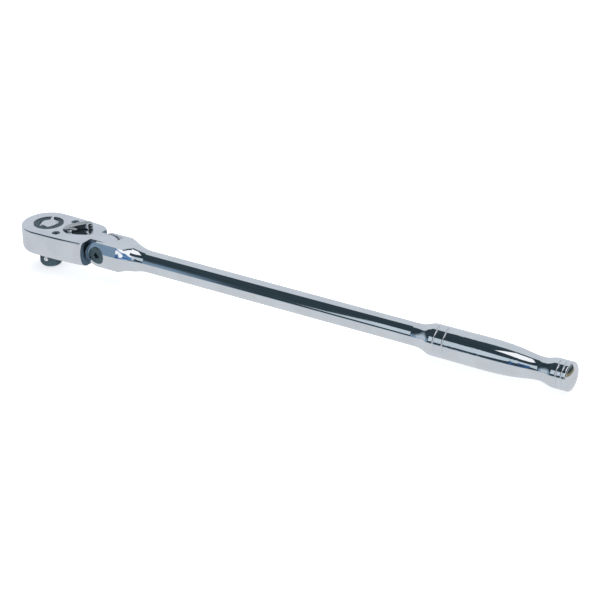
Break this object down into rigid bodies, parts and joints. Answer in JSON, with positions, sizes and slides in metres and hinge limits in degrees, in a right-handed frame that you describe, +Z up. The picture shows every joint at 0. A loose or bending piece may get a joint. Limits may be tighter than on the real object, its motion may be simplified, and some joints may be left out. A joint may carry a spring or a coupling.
{
  "type": "flex-head ratchet wrench",
  "caption": "Long flex-head reversible ratchet wrench: half-inch square drive and pear head with thumb lever, hinged in a clevis on a polished round handle with a waisted grip.",
  "frame": {"origin": "centre of the drive square's end face, on the drive axis", "axes": "+X along the straight handle from the drive axis towards the end knob; +Z up the drive axis from the square to the lever side; +Y completes the right-handed frame"},
  "size_m": [0.4576, 0.0388, 0.0383],
  "materials": {
    "polished_chrome": "mirror-polished bright chrome plate",
    "satin_chrome": "polished chrome plate with faint grinding lines",
    "black_steel": "black oxide, lightly oiled",
    "gunmetal_steel": "dark phosphate over hardened steel",
    "black_chrome": "smoky black chrome",
    "bright_steel": "polished bearing ball",
    "plain_steel": "ground steel",
    "spring_steel": "drawn spring wire",
    "seal_rubber": "matt nitrile"
  },
  "bodies": {
    "handle": {"handle": "polished_chrome", "pivot_screw": "black_steel", "pivot_nut": "black_steel", "hinge_washer": "plain_steel", "hinge_disc_spring": "spring_steel"},
    "head": {"head_body": "satin_chrome", "cover_plate": "satin_chrome", "cover_screws": "black_steel", "pawl_pin": "plain_steel"},
    "drive": {"drive_gear": "gunmetal_steel", "thrust_washer": "plain_steel", "retaining_ring": "black_steel", "detent_spring": "spring_steel"},
    "ball": {"detent_ball": "bright_steel"},
    "pawl": {"pawl": "gunmetal_steel"},
    "lever": {"reverse_lever": "black_chrome", "lever_seal": "seal_rubber", "lever_clip": "spring_steel", "plunger_spring": "spring_steel"},
    "plunger": {"shift_plunger": "plain_steel"}
  },
  "joints": [
    {"name": "head_flex", "type": "hinge", "parent": "handle", "child": "head", "pos_m": [0.0532, 0, 0.0235], "axis": [0, 1, 0], "range_deg": [-75, 75]},
    {"name": "drive_spin", "type": "hinge", "parent": "head", "child": "drive", "pos_m": [0, 0, 0.0235], "axis": [0, 0, 1], "continuous": true},
    {"name": "ball_press", "type": "slide", "parent": "drive", "child": "ball", "axis": [0, 1, 0], "range_m": [0, 0.0011], "stiffness_N_per_m": 500, "springref_m": -0.002, "deforming": ["detent_spring"]},
    {"name": "lever_swing", "type": "hinge", "parent": "head", "child": "lever", "pos_m": [0.022, 0, 0.034], "axis": [0, 0, 1], "range_deg": [-82, 0]},
    {"name": "pawl_rock", "type": "hinge", "parent": "head", "child": "pawl", "pos_m": [0.01675, 0, 0.02225], "axis": [0, 0, 1], "range_deg": [0, 8]},
    {"name": "plunger_slide", "type": "slide", "parent": "lever", "child": "plunger", "axis": [-0.7547, -0.6561, 0], "range_m": [-0.0008, 0], "stiffness_N_per_m": 300, "springref_m": 0.002, "deforming": ["plunger_spring"]}
  ],
  "couplings": [
    {"joint": "pawl_rock", "follows": "lever_swing", "ratio": -0.097561}
  ]
}
